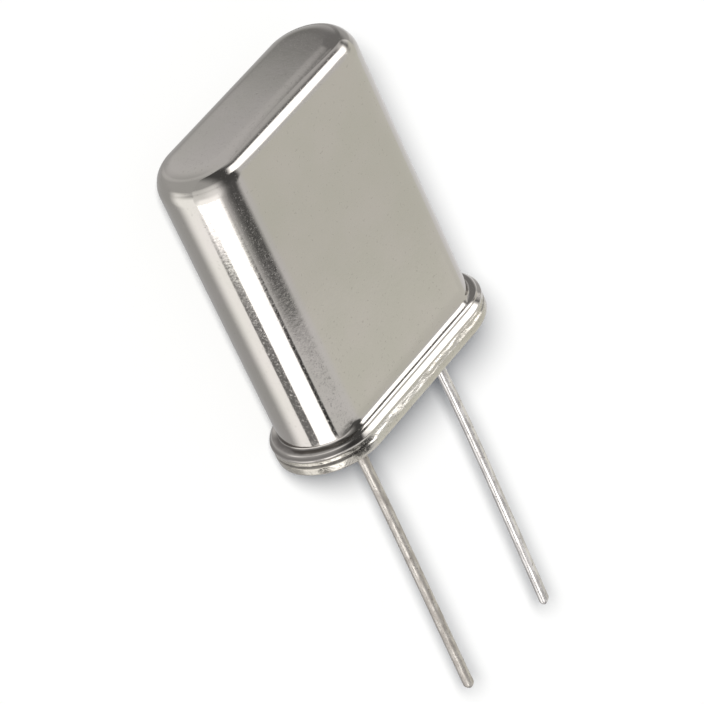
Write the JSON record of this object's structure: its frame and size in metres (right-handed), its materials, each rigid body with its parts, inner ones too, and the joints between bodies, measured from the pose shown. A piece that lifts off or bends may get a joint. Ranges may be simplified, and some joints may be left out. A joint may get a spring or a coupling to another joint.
{
  "type": "crystal oscillator",
  "caption": "Quartz crystal in a tall obround drawn metal can with a welded flange and long wire leads, soldered through a board to set a circuit's frequency.",
  "frame": {"origin": "centre of the seating plane, level with the underside of the base flange, midway between the leads", "axes": "+Z towards the closed end of the can, +X along the wide side from the left lead to the right one, +Y through the thickness; the leads point along -Z"},
  "size_m": [0.011, 0.0046, 0.027],
  "materials": {
    "can_plating": "bright satin nickel plate on drawn steel",
    "base_plating": "nickel plate, rough where the weld squeezed out",
    "seal_glass": "dark fused glass",
    "lead_left_tin": "dull hot-dipped tin",
    "lead_right_tin": "bright hot-dipped tin",
    "spring_metal": "rolled nickel ribbon",
    "quartz": "lapped quartz",
    "electrode_film": "evaporated silver film",
    "bond_resin": "silver-filled adhesive"
  },
  "bodies": {
    "root": {"can_cover": "can_plating", "header_base": "base_plating", "glass_seal_left": "seal_glass", "glass_seal_right": "seal_glass", "lead_left": "lead_left_tin", "lead_right": "lead_right_tin", "mount_spring_left": "spring_metal", "mount_spring_right": "spring_metal", "quartz_blank": "quartz", "electrode_front": "electrode_film", "electrode_back": "electrode_film", "bond_left": "bond_resin", "bond_right": "bond_resin"}
  },
  "joints": []
}
